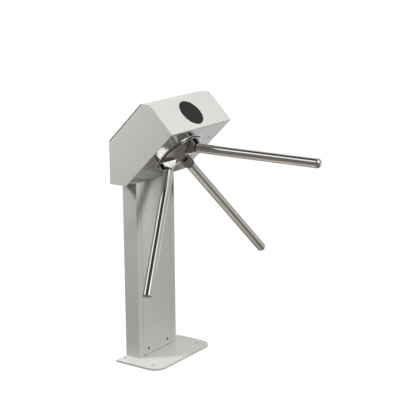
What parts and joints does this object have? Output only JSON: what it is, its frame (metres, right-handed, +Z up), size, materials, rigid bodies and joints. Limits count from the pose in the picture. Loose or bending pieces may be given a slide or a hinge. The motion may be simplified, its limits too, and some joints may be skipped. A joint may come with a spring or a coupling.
{
  "type": "tripod turnstile",
  "caption": "Free-standing tripod turnstile with a faceted sheet-metal head on a column, a tilted domed hub and folding tube arms.",
  "frame": {"origin": "middle of the base plate's underside, on the floor", "axes": "+Z up, +X from the column into the passage along the raised barrier arm, +Y along the head's length"},
  "size_m": [0.8044, 0.8038, 1.04],
  "materials": {
    "grey_paint": "light grey satin powder coat on sheet steel",
    "polished_steel": "polished stainless steel",
    "satin_steel": "satin stainless steel of hub forks and tongues",
    "zinc_steel": "bright zinc-plated steel",
    "cast_alloy": "machined aluminium casting",
    "smoked_window": "dark smoked window, satin outside",
    "black_plastic": "moulded black plastic",
    "circuit_board": "green solder mask",
    "brass_part": "plain brass",
    "spring_steel": "spring wire"
  },
  "bodies": {
    "stand": {"base_plate": "grey_paint", "column": "grey_paint", "column_crossbars": "zinc_steel", "column_top_plate": "zinc_steel", "column_cover": "grey_paint", "panel_screws": "zinc_steel", "head_bolts": "zinc_steel", "head_chassis": "grey_paint", "end_plate_left": "grey_paint", "end_plate_right": "grey_paint", "top_cover": "grey_paint", "cover_screws": "zinc_steel", "indicator_lens": "smoked_window", "indicator_housing": "black_plastic", "indicator_board": "circuit_board", "hub_trim_ring": "polished_steel", "mechanism_standoffs": "zinc_steel", "mechanism_plate": "zinc_steel", "bearing_housing": "cast_alloy", "mechanism_bolts": "zinc_steel", "front_bearing": "polished_steel", "rear_bearing": "polished_steel", "rotary_damper": "black_plastic", "mechanism_posts": "zinc_steel", "solenoid_left": "black_plastic", "solenoid_right": "black_plastic", "sensor_board": "circuit_board", "board_standoffs": "brass_part", "controller_board": "circuit_board", "centring_spring": "spring_steel", "return_spring_left": "spring_steel", "return_spring_right": "spring_steel"},
    "rotor": {"rotor_shaft": "zinc_steel", "hub_body": "satin_steel", "hub_bolts": "zinc_steel", "hub_cover": "polished_steel", "fold_pins": "polished_steel", "latch_blocks": "satin_steel", "lock_wheel": "zinc_steel", "ring_gear": "zinc_steel", "sensor_disc": "black_plastic", "shaft_nut": "zinc_steel"},
    "centring_crank": {"pinion": "brass_part", "crank": "zinc_steel"},
    "left_pawl": {"pawl_left": "zinc_steel"},
    "right_pawl": {"pawl_right": "zinc_steel"},
    "left_plunger": {"plunger_left": "zinc_steel"},
    "right_plunger": {"plunger_right": "zinc_steel"},
    "arm_1": {"arm_tube_1": "polished_steel", "arm_tongue_1": "satin_steel", "arm_cap_1": "polished_steel", "arm_screws_1": "satin_steel"},
    "arm_2": {"arm_tube_2": "polished_steel", "arm_tongue_2": "satin_steel", "arm_cap_2": "polished_steel", "arm_screws_2": "satin_steel"},
    "arm_3": {"arm_tube_3": "polished_steel", "arm_tongue_3": "satin_steel", "arm_cap_3": "polished_steel", "arm_screws_3": "satin_steel"}
  },
  "joints": [
    {"name": "rotor_spin", "type": "hinge", "parent": "stand", "child": "rotor", "pos_m": [0.0805, 0, 0.8295], "axis": [0.7071, 0, -0.7071], "continuous": true},
    {"name": "crank_spin", "type": "hinge", "parent": "stand", "child": "centring_crank", "pos_m": [0.05929, 0, 0.96385], "axis": [0.7071, 0, -0.7071], "continuous": true, "deforming": ["centring_spring"]},
    {"name": "left_pawl_turn", "type": "hinge", "parent": "stand", "child": "left_pawl", "pos_m": [-0.03122, -0.064, 0.85637], "axis": [-0.7071, 0, 0.7071], "range_deg": [0, 12], "stiffness_Nm_per_rad": 0.5},
    {"name": "left_plunger_slide", "type": "slide", "parent": "stand", "child": "left_plunger", "axis": [0, -1, 0], "range_m": [0, 0.0067], "deforming": ["return_spring_left"]},
    {"name": "right_pawl_turn", "type": "hinge", "parent": "stand", "child": "right_pawl", "pos_m": [-0.03122, 0.064, 0.85637], "axis": [0.7071, 0, -0.7071], "range_deg": [0, 12], "stiffness_Nm_per_rad": 0.5},
    {"name": "right_plunger_slide", "type": "slide", "parent": "stand", "child": "right_plunger", "axis": [0, 1, 0], "range_m": [0, 0.0067], "deforming": ["return_spring_right"]},
    {"name": "arm_1_fold", "type": "hinge", "parent": "rotor", "child": "arm_1", "pos_m": [0.14641, 0, 0.85609], "axis": [0, 1, 0], "range_deg": [0, 90]},
    {"name": "arm_2_fold", "type": "hinge", "parent": "rotor", "child": "arm_2", "pos_m": [0.07704, -0.05664, 0.78671], "axis": [0.6124, -0.5, 0.6124], "range_deg": [0, 45]},
    {"name": "arm_3_fold", "type": "hinge", "parent": "rotor", "child": "arm_3", "pos_m": [0.07704, 0.05664, 0.78671], "axis": [-0.6124, -0.5, -0.6124], "range_deg": [0, 45]}
  ],
  "couplings": [
    {"joint": "crank_spin", "follows": "rotor_spin", "ratio": -3},
    {"joint": "left_plunger_slide", "follows": "left_pawl_turn", "m_per_rad": 0.0318},
    {"joint": "right_plunger_slide", "follows": "right_pawl_turn", "m_per_rad": 0.0318}
  ]
}
